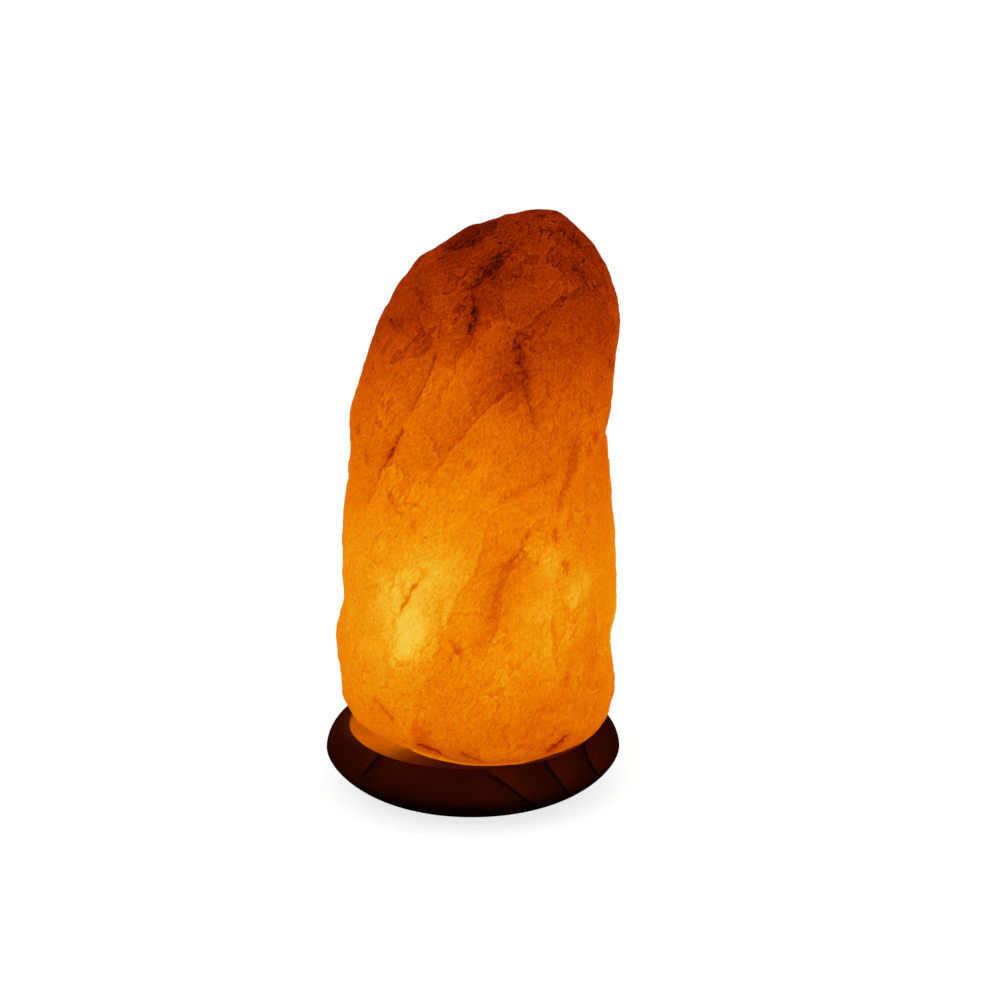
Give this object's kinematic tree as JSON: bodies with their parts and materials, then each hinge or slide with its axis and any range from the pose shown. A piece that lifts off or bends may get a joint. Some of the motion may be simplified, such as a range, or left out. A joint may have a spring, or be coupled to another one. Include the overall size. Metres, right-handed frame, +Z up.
{
  "type": "salt crystal lamp",
  "caption": "Table lamp: a hewn rock-salt crystal, drilled for a small screw bulb on a clip-in holder, standing in a round dished wooden base.",
  "frame": {"origin": "on the axis of the wooden base, at the floor under its feet", "axes": "+Z up; -Y is the front that the picture shows; +X is the lamp's right seen from the front; the cord groove leaves toward +Y"},
  "size_m": [0.15, 0.15, 0.2925],
  "materials": {
    "rock_salt": "rough hewn, translucent, lit from within",
    "stained_wood": "dark red-brown stain, satin",
    "foot_rubber": "matte",
    "zinc_steel": "zinc plated",
    "plug_nylon": "moulded nylon",
    "holder_plastic": "moulded thermoset, off-white",
    "contact_brass": "pressed",
    "spring_steel": "blued spring strip",
    "solder": "dull tin solder",
    "bulb_glass": "clear",
    "cap_brass": "rolled",
    "black_glass": "black sealing glass",
    "lead_wire": "drawn wire",
    "hot_tungsten": "incandescent coil"
  },
  "bodies": {
    "lamp": {"salt_crystal": "rock_salt", "wooden_base": "stained_wood", "foot_1": "foot_rubber", "foot_2": "foot_rubber", "foot_3": "foot_rubber", "foot_4": "foot_rubber", "crystal_screws": "zinc_steel", "wall_plugs": "plug_nylon"},
    "holder": {"holder_cap": "holder_plastic", "holder_shell": "holder_plastic", "thread_liner": "contact_brass", "centre_contact": "contact_brass", "terminal_block_1": "contact_brass", "terminal_block_2": "contact_brass", "terminal_screws": "zinc_steel", "clip_ring": "spring_steel"},
    "wing_left": {"clip_wing_left": "spring_steel"},
    "wing_right": {"clip_wing_right": "spring_steel"},
    "bulb_seat": {"bulb_tip": "solder"},
    "bulb": {"bulb_glass": "bulb_glass", "bulb_cap": "cap_brass", "bulb_insulator": "black_glass", "bulb_stem": "bulb_glass", "bulb_leads": "lead_wire", "bulb_filament": "hot_tungsten"}
  },
  "joints": [
    {"name": "holder_slide", "type": "slide", "parent": "lamp", "child": "holder", "axis": [0, 0, -1], "range_m": [0, 0.16]},
    {"name": "wing_left_squeeze", "type": "hinge", "parent": "holder", "child": "wing_left", "pos_m": [-0.01525, 0, 0.036], "axis": [0, -1, 0], "range_deg": [0, 10], "stiffness_Nm_per_rad": 0.3},
    {"name": "wing_right_squeeze", "type": "hinge", "parent": "holder", "child": "wing_right", "pos_m": [0.01525, 0, 0.036], "axis": [0, 1, 0], "range_deg": [0, 10], "stiffness_Nm_per_rad": 0.3},
    {"name": "bulb_rise", "type": "slide", "parent": "holder", "child": "bulb_seat", "axis": [0, 0, 1], "range_m": [0, 0.0141]},
    {"name": "bulb_turn", "type": "hinge", "parent": "bulb_seat", "child": "bulb", "pos_m": [0, 0, 0.04], "axis": [0, 0, 1], "range_deg": [0, 1800]}
  ],
  "couplings": [
    {"joint": "bulb_turn", "follows": "bulb_rise", "rad_per_m": 2228.1}
  ]
}
